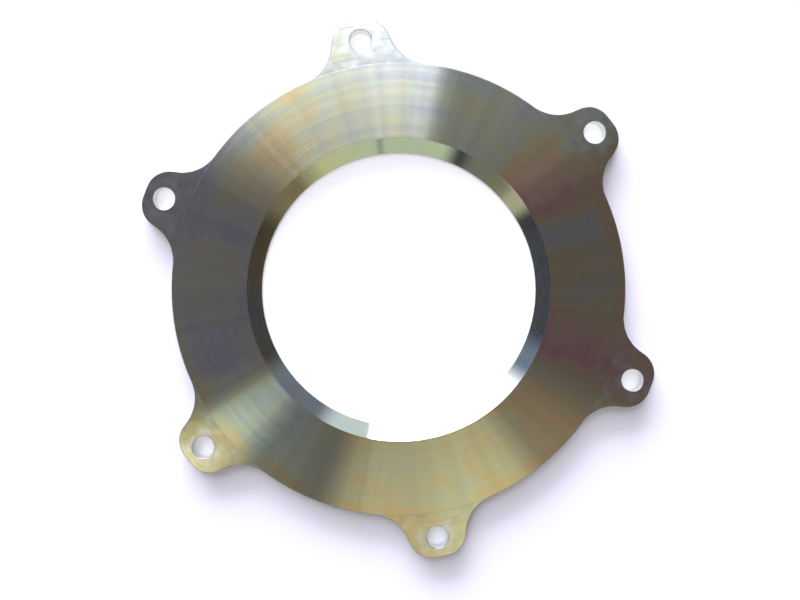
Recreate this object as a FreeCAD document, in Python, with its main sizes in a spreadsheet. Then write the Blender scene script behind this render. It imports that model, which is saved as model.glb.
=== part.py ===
import FreeCAD, Part
import math
import os
import Sketcher

# Clutch thrust ring: one flat steel ring with a turned face, a bevelled bore and six bolt ears.
# The back of the ring lies on the XY plane, its axis is Z, and the first ear points along +X.
# Millimetres and degrees.

FreeCAD.newDocument("clutch_thrust_ring")
doc = FreeCAD.ActiveDocument
TOLERANCE = 0.001
FULL_TURN = 360

# How a sketch numbers the points of a curve, its own X axis and its origin.
START, END, CENTRE = 1, 2, 3
X_AXIS = -1
ORIGIN = (X_AXIS, START)

# The driving dimensions, one row each: name, value and what it measures on the ring.
SIZES = [
    ("plate_thickness", 8.0, "from the back to the turned thrust face"),
    ("bore_radius", 69.0, "the plain bore"),
    ("bevel_width", 6.5, "the bore's bevel, measured across the face"),
    ("bevel_depth", 6.5, "the bore's bevel, measured down from the face"),
    ("bolt_circle_radius", 125.0, "the bolt holes' centres, from the ring's axis"),
    ("bolt_hole_radius", 5.5, "a clearance hole for an M10 bolt"),
    ("ear_count", 6, "ears and bolt holes, evenly spaced"),
    ("ear_reach", 12.0, "from the rim between the ears out to the bolt circle"),
    ("ear_tip_wall", 10.0, "from the bolt circle out to the tips of the ears"),
    ("ear_corner_radius", 12.0, "the round corners of an ear's tip"),
    ("ear_tip_flat", 2.0, "how far the corners stand apart, each side of the hole"),
    ("ear_flank_angle", 15.0, "how far a flank leans in towards the tip"),
    ("ear_root_radius", 20.0, "the hollow fillet from a flank to the rim"),
    ("ear_drop", 0.4, "how far the ears lie below the thrust face"),
    ("shoulder_inset", 0.5, "from the rim in to the thrust face's shoulder"),
    ("hole_chamfer", 0.5, "the 45 degree chamfer at both ends of a bolt hole"),
    ("edge_break", 0.3, "the broken edge round the outline, shoulder and bore"),
    ("cutter_overrun", 2.0, "how far a cutting profile runs out past the metal"),
]

# Radii and distances that follow from those, as the sketches' own expressions.
RIM_RADIUS = "Sizes.bolt_circle_radius - Sizes.ear_reach"
FACE_RADIUS = f"{RIM_RADIUS} - Sizes.shoulder_inset"
TIP_RADIUS = "Sizes.bolt_circle_radius + Sizes.ear_tip_wall"
SIDE_WALL = "Sizes.ear_corner_radius + Sizes.ear_tip_flat"
EAR_LEVEL = "Sizes.plate_thickness - Sizes.ear_drop"

sheet = doc.addObject("Spreadsheet::Sheet", "Sizes")
for row, (alias, value, meaning) in enumerate(SIZES, start=1):
    sheet.set(f"A{row}", alias)
    sheet.set(f"B{row}", str(value))
    sheet.set(f"C{row}", meaning)
    sheet.setAlias(f"B{row}", alias)
doc.recompute()


def size(alias):
    """The value of one driving dimension, for placing a sketch's first guess."""
    return float(sheet.get(alias))


def rim_radius():
    """The rim of the plate between the ears."""
    return size("bolt_circle_radius") - size("ear_reach")


def face_radius():
    """The shoulder of the turned thrust face."""
    return rim_radius() - size("shoulder_inset")


def tip_radius():
    """The tips of the ears, concentric with the ring."""
    return size("bolt_circle_radius") + size("ear_tip_wall")


def side_wall():
    """From a bolt hole's centre square across to the ear's flank."""
    return size("ear_corner_radius") + size("ear_tip_flat")


def ear_level():
    """The height of the ears' faces over the back."""
    return size("plate_thickness") - size("ear_drop")


def origin_part(body, role):
    """The body's own origin plane or axis that plays this role."""
    for feature in body.Origin.OriginFeatures:
        if feature.Role == role:
            return feature
    raise ValueError(f"the body's origin has no {role}")


def new_sketch(body, name, plane_role):
    """An empty sketch on one of the body's origin planes."""
    sketch = body.newObject("Sketcher::SketchObject", name)
    sketch.AttachmentSupport = [(origin_part(body, plane_role), "")]
    sketch.MapMode = "FlatFace"
    return sketch


def bind(sketch, name, constraint, expression):
    """Add a named dimension to the sketch and drive it from the sheet."""
    number = sketch.addConstraint(constraint)
    sketch.renameConstraint(number, name)
    sketch.setExpression(f"Constraints.{name}", expression)


def at(radius, degrees):
    """A point on the sketch plane in polar form."""
    turn = math.radians(degrees)
    return FreeCAD.Vector(radius * math.cos(turn), radius * math.sin(turn), 0)


def arc(centre, start, end):
    """The counter-clockwise arc round the centre from one point to another."""
    circle = Part.Circle(centre, FreeCAD.Vector(0, 0, 1), (start - centre).Length)
    first = math.atan2(start.y - centre.y, start.x - centre.x)
    last = math.atan2(end.y - centre.y, end.x - centre.x)
    return Part.ArcOfCircle(circle, first, last)


def polygon(sketch, points):
    """A closed run of straight lines, joined end to end."""
    lines = []
    for here, there in zip(points, points[1:] + points[:1]):
        lines.append(sketch.addGeometry(Part.LineSegment(here, there), False))
    for line, following in zip(lines, lines[1:] + lines[:1]):
        sketch.addConstraint(Sketcher.Constraint("Coincident", line, END, following, START))
    return lines


def ear_points():
    """Where an ear's arcs begin, end and have their centres, on the ear's left side."""
    lean = math.radians(size("ear_flank_angle"))
    across = FreeCAD.Vector(math.sin(lean), math.cos(lean), 0)
    along = FreeCAD.Vector(math.cos(lean), -math.sin(lean), 0)
    hole = FreeCAD.Vector(size("bolt_circle_radius"), 0, 0)
    flank_offset = hole.dot(across) + side_wall()

    corner_offset = flank_offset - size("ear_corner_radius")
    corner_reach = tip_radius() - size("ear_corner_radius")
    corner = across * corner_offset + along * math.sqrt(corner_reach**2 - corner_offset**2)
    root_offset = flank_offset + size("ear_root_radius")
    root_reach = rim_radius() + size("ear_root_radius")
    root = across * root_offset + along * math.sqrt(root_reach**2 - root_offset**2)

    return {
        "corner": corner,
        "tip_end": corner * (tip_radius() / corner.Length),
        "flank_top": corner + across * size("ear_corner_radius"),
        "flank_foot": root - across * size("ear_root_radius"),
        "root": root,
        "rim_start": root * (rim_radius() / root.Length),
    }


def mirrored(point):
    """The same point on the ear's other side."""
    return FreeCAD.Vector(point.x, -point.y, 0)


def draw_sector(sketch):
    """One ear with its share of the ring, closed by two radial lines and the bore's arc."""
    left = ear_points()
    right = {name: mirrored(point) for name, point in left.items()}
    centre = FreeCAD.Vector(0, 0, 0)
    half_share = FULL_TURN / size("ear_count") / 2
    rim_cut = at(rim_radius(), half_share)
    bore_cut = at(size("bore_radius"), half_share)

    curves = {
        "tip": arc(centre, right["tip_end"], left["tip_end"]),
        "left_corner": arc(left["corner"], left["tip_end"], left["flank_top"]),
        "left_flank": Part.LineSegment(left["flank_top"], left["flank_foot"]),
        "left_root": arc(left["root"], left["rim_start"], left["flank_foot"]),
        "left_rim": arc(centre, left["rim_start"], rim_cut),
        "left_cut": Part.LineSegment(rim_cut, bore_cut),
        "bore": arc(centre, mirrored(bore_cut), bore_cut),
        "right_cut": Part.LineSegment(mirrored(bore_cut), mirrored(rim_cut)),
        "right_rim": arc(centre, mirrored(rim_cut), right["rim_start"]),
        "right_root": arc(right["root"], right["flank_foot"], right["rim_start"]),
        "right_flank": Part.LineSegment(right["flank_foot"], right["flank_top"]),
        "right_corner": arc(right["corner"], right["flank_top"], right["tip_end"]),
    }
    ids = {name: sketch.addGeometry(curve, False) for name, curve in curves.items()}

    smooth_joints = [
        ("tip", END, "left_corner", START),
        ("left_corner", END, "left_flank", START),
        ("left_flank", END, "left_root", END),
        ("left_root", START, "left_rim", START),
        ("right_rim", END, "right_root", END),
        ("right_root", START, "right_flank", START),
        ("right_flank", END, "right_corner", START),
        ("right_corner", END, "tip", START),
    ]
    for one, one_end, other, other_end in smooth_joints:
        joint = Sketcher.Constraint("Tangent", ids[one], one_end, ids[other], other_end)
        sketch.addConstraint(joint)
    square_joints = [
        ("left_rim", END, "left_cut", START),
        ("left_cut", END, "bore", END),
        ("bore", START, "right_cut", START),
        ("right_cut", END, "right_rim", START),
    ]
    for one, one_end, other, other_end in square_joints:
        joint = Sketcher.Constraint("Coincident", ids[one], one_end, ids[other], other_end)
        sketch.addConstraint(joint)

    for name in ("tip", "bore", "left_rim", "right_rim"):
        sketch.addConstraint(Sketcher.Constraint("Coincident", ids[name], CENTRE, *ORIGIN))
    for name in ("left_cut", "right_cut"):
        sketch.addConstraint(Sketcher.Constraint("PointOnObject", *ORIGIN, ids[name]))
    for name in ("corner", "root", "rim"):
        pair = (ids[f"left_{name}"], ids[f"right_{name}"])
        sketch.addConstraint(Sketcher.Constraint("Equal", *pair))

    hole = Part.Point(FreeCAD.Vector(size("bolt_circle_radius"), 0, 0))
    hole_id = sketch.addGeometry(hole, True)
    sketch.addConstraint(Sketcher.Constraint("PointOnObject", hole_id, START, X_AXIS))
    bind(sketch, "bolt_circle",
         Sketcher.Constraint("DistanceX", *ORIGIN, hole_id, START, size("bolt_circle_radius")),
         "Sizes.bolt_circle_radius")

    radii = [
        ("tip", tip_radius(), TIP_RADIUS),
        ("left_corner", size("ear_corner_radius"), "Sizes.ear_corner_radius"),
        ("left_root", size("ear_root_radius"), "Sizes.ear_root_radius"),
        ("left_rim", rim_radius(), RIM_RADIUS),
        ("bore", size("bore_radius"), "Sizes.bore_radius"),
    ]
    for name, radius, expression in radii:
        bind(sketch, f"{name}_radius",
             Sketcher.Constraint("Radius", ids[name], radius),
             expression)
    lean = math.radians(size("ear_flank_angle"))
    for side in ("left", "right"):
        bind(sketch, f"{side}_side_wall",
             Sketcher.Constraint("Distance", hole_id, START, ids[f"{side}_flank"], side_wall()),
             SIDE_WALL)
    bind(sketch, "left_lean",
         Sketcher.Constraint("Angle", X_AXIS, START, ids["left_flank"], START,
                             math.pi - lean),
         "180 deg - Sizes.ear_flank_angle * 1 deg")
    bind(sketch, "right_lean",
         Sketcher.Constraint("Angle", X_AXIS, START, ids["right_flank"], START, lean),
         "Sizes.ear_flank_angle * 1 deg")
    bind(sketch, "left_share",
         Sketcher.Constraint("Angle", X_AXIS, START, ids["left_cut"], END,
                             math.radians(half_share)),
         "180 deg / Sizes.ear_count")
    bind(sketch, "right_share",
         Sketcher.Constraint("Angle", ids["right_cut"], START, X_AXIS, START,
                             math.radians(half_share)),
         "180 deg / Sizes.ear_count")


def draw_bevel_cut(sketch):
    """A triangle whose slanting side is the bevel, run out past the face and the bore."""
    bore = size("bore_radius")
    top = size("plate_thickness")
    overrun = size("cutter_overrun")
    slope = size("bevel_depth") / size("bevel_width")
    inner = bore - overrun
    high = top + overrun
    low_end = FreeCAD.Vector(inner, top - size("bevel_depth") - overrun * slope, 0)
    high_end = FreeCAD.Vector(bore + size("bevel_width") + overrun / slope, high, 0)
    corner = FreeCAD.Vector(inner, high, 0)
    slant, upper, upright = polygon(sketch, [low_end, high_end, corner])
    sketch.addConstraint(Sketcher.Constraint("Horizontal", upper))
    sketch.addConstraint(Sketcher.Constraint("Vertical", upright))
    bind(sketch, "inner",
         Sketcher.Constraint("DistanceX", *ORIGIN, upright, START, inner),
         "Sizes.bore_radius - Sizes.cutter_overrun")
    bind(sketch, "high",
         Sketcher.Constraint("DistanceY", *ORIGIN, upper, START, high),
         "Sizes.plate_thickness + Sizes.cutter_overrun")

    face_edge = Part.Point(FreeCAD.Vector(bore + size("bevel_width"), top, 0))
    bore_edge = Part.Point(FreeCAD.Vector(bore, top - size("bevel_depth"), 0))
    face_id = sketch.addGeometry(face_edge, True)
    bore_id = sketch.addGeometry(bore_edge, True)
    for point_id in (face_id, bore_id):
        sketch.addConstraint(Sketcher.Constraint("PointOnObject", point_id, START, slant))
    bind(sketch, "face_edge_radius",
         Sketcher.Constraint("DistanceX", *ORIGIN, face_id, START, bore + size("bevel_width")),
         "Sizes.bore_radius + Sizes.bevel_width")
    bind(sketch, "face_edge_height",
         Sketcher.Constraint("DistanceY", *ORIGIN, face_id, START, top),
         "Sizes.plate_thickness")
    bind(sketch, "bore_edge_radius",
         Sketcher.Constraint("DistanceX", *ORIGIN, bore_id, START, bore),
         "Sizes.bore_radius")
    bind(sketch, "bore_edge_height",
         Sketcher.Constraint("DistanceY", *ORIGIN, bore_id, START, top - size("bevel_depth")),
         "Sizes.plate_thickness - Sizes.bevel_depth")


def draw_shoulder_cut(sketch):
    """What the lathe takes off the ears, with the shoulder's edge broken at 45 degrees."""
    face = face_radius()
    top = size("plate_thickness")
    broken = size("edge_break")
    overrun = size("cutter_overrun")
    outer = tip_radius() + overrun
    high = top + overrun
    profile = [
        FreeCAD.Vector(face, ear_level(), 0),
        FreeCAD.Vector(outer, ear_level(), 0),
        FreeCAD.Vector(outer, high, 0),
        FreeCAD.Vector(face - broken - overrun, high, 0),
        FreeCAD.Vector(face, top - broken, 0),
    ]
    bottom, outside, upper, slant, shoulder = polygon(sketch, profile)
    for line in (bottom, upper):
        sketch.addConstraint(Sketcher.Constraint("Horizontal", line))
    for line in (outside, shoulder):
        sketch.addConstraint(Sketcher.Constraint("Vertical", line))
    bind(sketch, "face_radius",
         Sketcher.Constraint("DistanceX", *ORIGIN, bottom, START, face),
         FACE_RADIUS)
    bind(sketch, "ear_level",
         Sketcher.Constraint("DistanceY", *ORIGIN, bottom, START, ear_level()),
         EAR_LEVEL)
    bind(sketch, "outer",
         Sketcher.Constraint("DistanceX", *ORIGIN, outside, START, outer),
         f"{TIP_RADIUS} + Sizes.cutter_overrun")
    bind(sketch, "high",
         Sketcher.Constraint("DistanceY", *ORIGIN, upper, START, high),
         "Sizes.plate_thickness + Sizes.cutter_overrun")
    bind(sketch, "slant_end",
         Sketcher.Constraint("DistanceX", *ORIGIN, slant, START, face - broken - overrun),
         f"{FACE_RADIUS} - Sizes.edge_break - Sizes.cutter_overrun")
    bind(sketch, "slant_foot",
         Sketcher.Constraint("DistanceY", *ORIGIN, shoulder, START, top - broken),
         "Sizes.plate_thickness - Sizes.edge_break")


def draw_hole_cut(sketch):
    """Half of a bolt hole beside its own axis, with a chamfer at each end."""
    middle = size("bolt_circle_radius")
    wall = middle + size("bolt_hole_radius")
    chamfer = size("hole_chamfer")
    overrun = size("cutter_overrun")
    flare = wall + chamfer + overrun
    profile = [
        FreeCAD.Vector(middle, -overrun, 0),
        FreeCAD.Vector(flare, -overrun, 0),
        FreeCAD.Vector(wall, chamfer, 0),
        FreeCAD.Vector(wall, ear_level() - chamfer, 0),
        FreeCAD.Vector(flare, ear_level() + overrun, 0),
        FreeCAD.Vector(middle, ear_level() + overrun, 0),
    ]
    lower, low_flare, side, high_flare, upper, back = polygon(sketch, profile)
    for line in (lower, upper):
        sketch.addConstraint(Sketcher.Constraint("Horizontal", line))
    for line in (side, back):
        sketch.addConstraint(Sketcher.Constraint("Vertical", line))
    axis_ends = (FreeCAD.Vector(middle, 0, 0), FreeCAD.Vector(middle, ear_level(), 0))
    axis = sketch.addGeometry(Part.LineSegment(*axis_ends), True)
    sketch.addConstraint(Sketcher.Constraint("Vertical", axis))
    sketch.addConstraint(Sketcher.Constraint("PointOnObject", axis, START, X_AXIS))
    bind(sketch, "ear_level",
         Sketcher.Constraint("DistanceY", *ORIGIN, axis, END, ear_level()),
         EAR_LEVEL)
    bind(sketch, "axis_radius",
         Sketcher.Constraint("DistanceX", *ORIGIN, axis, START, middle),
         "Sizes.bolt_circle_radius")
    bind(sketch, "back_radius",
         Sketcher.Constraint("DistanceX", *ORIGIN, back, START, middle),
         "Sizes.bolt_circle_radius")
    bind(sketch, "hole_radius",
         Sketcher.Constraint("DistanceX", axis, START, side, START, wall - middle),
         "Sizes.bolt_hole_radius")
    for name, point in (("low_flare", (lower, END)), ("high_flare", (high_flare, END))):
        bind(sketch, name,
             Sketcher.Constraint("DistanceX", axis, START, *point, flare - middle),
             "Sizes.bolt_hole_radius + Sizes.hole_chamfer + Sizes.cutter_overrun")
    bind(sketch, "below",
         Sketcher.Constraint("DistanceY", lower, START, *ORIGIN, overrun),
         "Sizes.cutter_overrun")
    bind(sketch, "above",
         Sketcher.Constraint("DistanceY", axis, END, upper, START, overrun),
         "Sizes.cutter_overrun")
    bind(sketch, "low_chamfer",
         Sketcher.Constraint("DistanceY", *ORIGIN, side, START, chamfer),
         "Sizes.hole_chamfer")
    bind(sketch, "high_chamfer",
         Sketcher.Constraint("DistanceY", side, END, axis, END, chamfer),
         "Sizes.hole_chamfer")


def six_times(body, name, feature):
    """The feature repeated round the ring, once for each ear."""
    pattern = body.newObject("PartDesign::PolarPattern", name)
    pattern.Originals = [feature]
    pattern.Axis = (origin_part(body, "Z_Axis"), [""])
    pattern.Angle = FULL_TURN
    pattern.setExpression("Occurrences", "Sizes.ear_count")
    pattern.Refine = True
    body.Tip = pattern
    doc.recompute()


def turned_cut(body, name, sketch, axis):
    """A full turn of the profile taken out of the metal, with a check that it cut."""
    before = body.Shape.Volume
    groove = body.newObject("PartDesign::Groove", name)
    groove.Profile = sketch
    groove.ReferenceAxis = axis
    groove.Angle = FULL_TURN
    body.Tip = groove
    doc.recompute()
    if body.Shape.Volume >= before:
        raise ValueError(f"{name} took nothing away")
    return groove


def flat_edges(shape, height, least_radius):
    """Names of the edges at this height and no nearer the axis than this radius.

    A closed circle of a smaller radius is the mouth of a bolt hole and is left out.
    """
    names = []
    for number, edge in enumerate(shape.Edges, start=1):
        box = edge.BoundBox
        level = abs(box.ZMin - height) < TOLERANCE and abs(box.ZMax - height) < TOLERANCE
        radii = [math.hypot(vertex.X, vertex.Y) for vertex in edge.Vertexes]
        outside = min(radii) > least_radius - TOLERANCE
        hole_mouth = len(edge.Vertexes) == 1 and edge.Curve.Radius < least_radius - TOLERANCE
        if level and outside and not hole_mouth:
            names.append(f"Edge{number}")
    return names


def broken_edges(body, name, edges):
    """A small 45 degree chamfer along the edges."""
    base = body.Tip
    chamfer = body.newObject("PartDesign::Chamfer", name)
    chamfer.Base = (base, edges)
    chamfer.setExpression("Size", "Sizes.edge_break")
    body.Tip = chamfer
    doc.recompute()


def build_ring():
    """The ring as it is made: cut from plate, bevelled, turned, drilled and deburred."""
    body = doc.addObject("PartDesign::Body", "thrust_ring")
    body.Label = "thrust_ring"
    body.Placement = FreeCAD.Placement()

    outline = new_sketch(body, "SectorOutline", "XY_Plane")
    draw_sector(outline)
    sector = body.newObject("PartDesign::Pad", "Sector")
    sector.Profile = outline
    sector.setExpression("Length", "Sizes.plate_thickness")
    doc.recompute()
    six_times(body, "Plate", sector)

    bevel_profile = new_sketch(body, "BevelProfile", "XZ_Plane")
    draw_bevel_cut(bevel_profile)
    turned_cut(body, "Bevel", bevel_profile, (origin_part(body, "Z_Axis"), [""]))

    shoulder_profile = new_sketch(body, "ShoulderProfile", "XZ_Plane")
    draw_shoulder_cut(shoulder_profile)
    turned_cut(body, "EarFacing", shoulder_profile, (origin_part(body, "Z_Axis"), [""]))

    hole_profile = new_sketch(body, "HoleProfile", "XZ_Plane")
    draw_hole_cut(hole_profile)
    hole = turned_cut(body, "BoltHole", hole_profile, (hole_profile, ["Axis0"]))
    six_times(body, "BoltHoles", hole)

    upper = flat_edges(body.Shape, ear_level(), rim_radius())
    broken_edges(body, "UpperEdgeBreak", upper)
    lower = flat_edges(body.Shape, 0, size("bore_radius"))
    broken_edges(body, "LowerEdgeBreak", lower)
    return body


def check(parts):
    """Stop before anything is written if an object failed or a part isn't one sound solid."""
    for item in doc.Objects:
        if "Invalid" in item.State or "Error" in item.State:
            raise ValueError(f"{item.Name} did not build: {item.State}")
    for part in parts:
        shape = part.Shape
        if shape.isNull() or not shape.isValid() or len(shape.Solids) != 1:
            raise ValueError(f"{part.Label} is not one sound solid")


parts = [build_ring()]
doc.recompute()
check(parts)
os.makedirs("parts", exist_ok=True)
for part in parts:
    part.Shape.exportStep(f"parts/{part.Label}.step")
    box = part.Shape.BoundBox
    print(f"{part.Label}: {box.XLength:.2f} x {box.YLength:.2f} x {box.ZLength:.2f} mm,",
          f"{part.Shape.Volume / 1000:.1f} cm3, {len(part.Shape.Faces)} faces")
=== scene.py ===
import math

import bmesh
import bpy
from mathutils import Matrix, Vector


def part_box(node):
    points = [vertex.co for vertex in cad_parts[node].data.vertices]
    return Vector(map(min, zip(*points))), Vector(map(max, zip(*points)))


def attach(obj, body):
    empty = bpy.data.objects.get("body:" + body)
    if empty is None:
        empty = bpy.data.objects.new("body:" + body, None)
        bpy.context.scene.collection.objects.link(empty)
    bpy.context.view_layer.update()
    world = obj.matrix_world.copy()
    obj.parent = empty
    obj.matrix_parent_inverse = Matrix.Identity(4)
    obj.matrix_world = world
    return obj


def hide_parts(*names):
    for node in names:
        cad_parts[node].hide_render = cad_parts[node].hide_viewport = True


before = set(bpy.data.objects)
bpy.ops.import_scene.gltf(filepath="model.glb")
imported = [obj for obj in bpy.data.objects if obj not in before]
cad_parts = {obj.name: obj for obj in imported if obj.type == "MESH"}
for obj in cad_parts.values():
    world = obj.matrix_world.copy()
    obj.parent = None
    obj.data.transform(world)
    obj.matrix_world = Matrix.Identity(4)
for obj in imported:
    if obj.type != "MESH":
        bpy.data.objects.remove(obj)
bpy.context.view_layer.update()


# The view
# The ring lies on a white table and is seen from almost straight above, at arm's length. It
# is turned a little about its own axis, so that no ear points straight up in the picture.
MM = 0.001
PICTURE_TURN = 21.18
CAMERA_PLACE = (-3.8 * MM, -0.8 * MM, 430.4 * MM)
CAMERA_TILT = -0.585
CAMERA_LEAN = -0.575
CAMERA_LENS = 38.25
SENSOR = 36

picture_axes = Matrix.Rotation(math.radians(PICTURE_TURN), 4, "Z")
camera_data = bpy.data.cameras.new("camera")
camera_data.sensor_width = SENSOR
camera_data.lens = CAMERA_LENS
camera_data.clip_start = 10 * MM
camera = bpy.data.objects.new("camera", camera_data)
bpy.context.scene.collection.objects.link(camera)
camera.matrix_world = (
    picture_axes
    @ Matrix.Translation(CAMERA_PLACE)
    @ Matrix.Rotation(math.radians(CAMERA_LEAN), 4, "Y")
    @ Matrix.Rotation(math.radians(CAMERA_TILT), 4, "X")
)
bpy.context.scene.camera = camera
bpy.context.scene.view_settings.view_transform = "Standard"


# The outline and the rim wall
# The blank is steel plate, cut to a round rim with six rounded ears. The cut wall is the only
# part that no tool has turned: its plating is duller and darker, and both edges are broken.
EARS = 6
RIM_RADIUS = 113 * MM
TIP_RADIUS = 134.96 * MM
BOLT_CIRCLE = 125 * MM
EAR_SIDE_WALL = 14 * MM
EAR_CORNER = 12 * MM
EAR_ROOT = 20 * MM
EAR_LEAN = math.radians(15)
EAR_DROP = 0.4 * MM
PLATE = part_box("thrust_ring")[1].z
EAR_LEVEL = PLATE - EAR_DROP
EDGE_BREAK = 0.3 * MM
EDGE_ROUND = 0.12 * MM
ARC_STEP = 0.6 * MM
WELD = 0.002 * MM
EDGE_DULL = "#86837d"
EDGE_BRIGHT = "#a3a39b"
EDGE_PATCH_MM = 5
EDGE_GLOSS = (0.3, 0.5)


def linear(colour):
    """An sRGB hex colour as the linear colour that a shader works in."""
    parts = [int(colour[i : i + 2], 16) / 255 for i in (1, 3, 5)]
    return [p / 12.92 if p <= 0.04045 else ((p + 0.055) / 1.055) ** 2.4 for p in parts] + [1]


def add_node(tree, kind, inputs=None, **settings):
    """Adds one node with its settings, and fills its inputs with values or links."""
    node = tree.nodes.new(kind)
    for name, value in settings.items():
        setattr(node, name, value)
    for name, value in (inputs or {}).items():
        if isinstance(value, bpy.types.NodeSocket):
            tree.links.new(value, node.inputs[name])
        else:
            node.inputs[name].default_value = value
    return node


def new_finish(name):
    """An empty material, with its tree and the place in it in millimetres."""
    material = bpy.data.materials.new(name)
    material.use_nodes = True
    nodes = material.node_tree
    nodes.nodes.clear()
    object_place = add_node(nodes, "ShaderNodeTexCoord").outputs["Object"]
    place_mm = add_node(
        nodes, "ShaderNodeVectorMath", {0: object_place, "Scale": 1 / MM}, operation="SCALE"
    ).outputs[0]
    return material, nodes, place_mm


# Zinc plated steel, as cut: a dull grey with darker patches, where the plating took unevenly on
# the rough wall.
cut_edge, edge_nodes, edge_place = new_finish("cut_zinc_plate")
edge_patches = add_node(
    edge_nodes,
    "ShaderNodeTexNoise",
    {"Vector": edge_place, "Scale": 1 / EDGE_PATCH_MM, "Detail": 3.0},
).outputs[0]
edge_colour = add_node(
    edge_nodes,
    "ShaderNodeMix",
    {0: edge_patches, 6: linear(EDGE_DULL), 7: linear(EDGE_BRIGHT)},
    data_type="RGBA",
).outputs[2]
edge_gloss = add_node(
    edge_nodes,
    "ShaderNodeMapRange",
    {"Value": edge_patches, "To Min": EDGE_GLOSS[0], "To Max": EDGE_GLOSS[1]},
).outputs[0]
edge_surface = add_node(
    edge_nodes,
    "ShaderNodeBsdfPrincipled",
    {"Base Color": edge_colour, "Metallic": 1.0, "Roughness": edge_gloss},
).outputs[0]
add_node(edge_nodes, "ShaderNodeOutputMaterial", {"Surface": edge_surface})


def arc_points(centre, radius, start, end, count=0):
    """Points on an arc, close enough together to look round in a close view."""
    count = count or max(4, math.ceil(abs(end - start) * radius / ARC_STEP))
    angles = [start + (end - start) * i / count for i in range(count + 1)]
    return [centre + Vector((math.cos(a), math.sin(a))) * radius for a in angles]


def ear_outline():
    """One ear with its share of the rim, from the middle of one gap to the middle of the next."""
    across = Vector((math.sin(EAR_LEAN), math.cos(EAR_LEAN)))
    along = Vector((math.cos(EAR_LEAN), -math.sin(EAR_LEAN)))
    flank_offset = BOLT_CIRCLE * across.x + EAR_SIDE_WALL
    corner_offset = flank_offset - EAR_CORNER
    corner_reach = TIP_RADIUS - EAR_CORNER
    corner = across * corner_offset + along * math.sqrt(corner_reach**2 - corner_offset**2)
    root_offset = flank_offset + EAR_ROOT
    root_reach = RIM_RADIUS + EAR_ROOT
    root = across * root_offset + along * math.sqrt(root_reach**2 - root_offset**2)

    middle = Vector((0, 0))
    corner_angle = math.atan2(corner.y, corner.x)
    flank_angle = math.atan2(across.y, across.x)
    root_angle = math.atan2(root.y, root.x)
    half = arc_points(middle, TIP_RADIUS, 0, corner_angle)
    half += arc_points(corner, EAR_CORNER, corner_angle, flank_angle)[1:]
    half += arc_points(root, EAR_ROOT, flank_angle - math.pi, root_angle - math.pi)
    half += arc_points(middle, RIM_RADIUS, root_angle, math.pi / EARS)[1:]
    other_half = [Vector((p.x, -p.y)) for p in reversed(half)]
    return other_half[:-1] + half


def section_runs(corners):
    """The straight runs of a section through a wall, given as how far out and how high. Each
    run begins with the rounding of its first corner. Points close by each rounding keep the
    straight parts flat to the eye."""
    corners = [Vector(c) for c in corners]
    roundings = [[corners[0]]]
    for before, here, after in zip(corners, corners[1:], corners[2:]):
        back = (before - here).normalized()
        on = (after - here).normalized()
        half = back.angle(on) / 2
        reach = EDGE_ROUND / math.tan(half)
        centre = here + (back + on).normalized() * EDGE_ROUND / math.sin(half)
        first, last = here + back * reach - centre, here + on * reach - centre
        start = math.atan2(first.y, first.x)
        turn = (math.atan2(last.y, last.x) - start + math.pi) % math.tau - math.pi
        arc = arc_points(centre, EDGE_ROUND, start, start + turn, 4)
        roundings.append(arc + [arc[-1] + on * EDGE_ROUND / 4])
    roundings.append([corners[-1]])
    runs = []
    for rounding, following in zip(roundings, roundings[1:]):
        back = (rounding[-1] - following[0]).normalized()
        support = [following[0] + back * EDGE_ROUND / 4] if len(following) > 1 else []
        runs.append(rounding + support + [following[0]])
    return runs


def wall_runs(chamfer):
    """The runs of a straight wall with both its edges broken."""
    back = abs(chamfer)
    return section_runs([(chamfer, 0), (0, back), (0, EAR_LEVEL - back), (chamfer, EAR_LEVEL)])


def line_object(name, points):
    """A row of points joined by straight edges, for the geometry nodes to work on."""
    mesh = bpy.data.meshes.new(name)
    edges = [(i, i + 1) for i in range(len(points) - 1)]
    mesh.from_pydata([(p.x, p.y, 0) for p in points], edges, [])
    made = bpy.data.objects.new(name, mesh)
    bpy.context.scene.collection.objects.link(made)
    return made


# Geometry nodes make the ring from one ear's outline and its wall sections. Each of the next
# sections adds its own surface to this tree.
tree = bpy.data.node_groups.new("ring_from_one_ear", "GeometryNodeTree")
tree.interface.new_socket("Ear outline", in_out="INPUT", socket_type="NodeSocketGeometry")
tree.interface.new_socket("Ring", in_out="OUTPUT", socket_type="NodeSocketGeometry")
tree_inputs = {}
surfaces = []


def given(name, value):
    """Gives the tree one more input and a value for it, and returns the socket to read."""
    kind = {int: "NodeSocketInt", float: "NodeSocketFloat"}.get(type(value), "NodeSocketObject")
    socket = tree.interface.new_socket(name, in_out="INPUT", socket_type=kind)
    tree_inputs[socket.identifier] = value
    return add_node(tree, "NodeGroupInput").outputs[name]


ears_given = given("Ears", EARS)
ear_level_given = given("Ear level", EAR_LEVEL)


def for_each_ear(geometry):
    """A copy for each ear, turned about the ring's axis."""
    index = add_node(tree, "GeometryNodeInputIndex").outputs[0]
    step = add_node(tree, "ShaderNodeMath", {0: math.tau, 1: ears_given}, operation="DIVIDE")
    angle = add_node(tree, "ShaderNodeMath", {0: index, 1: step.outputs[0]}, operation="MULTIPLY")
    turn = add_node(tree, "ShaderNodeCombineXYZ", {"Z": angle.outputs[0]})
    places = add_node(tree, "GeometryNodePoints", {"Count": ears_given})
    copies = add_node(
        tree,
        "GeometryNodeInstanceOnPoints",
        {"Points": places.outputs[0], "Instance": geometry, "Rotation": turn.outputs[0]},
    )
    return add_node(tree, "GeometryNodeRealizeInstances", {0: copies.outputs[0]}).outputs[0]


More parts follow.
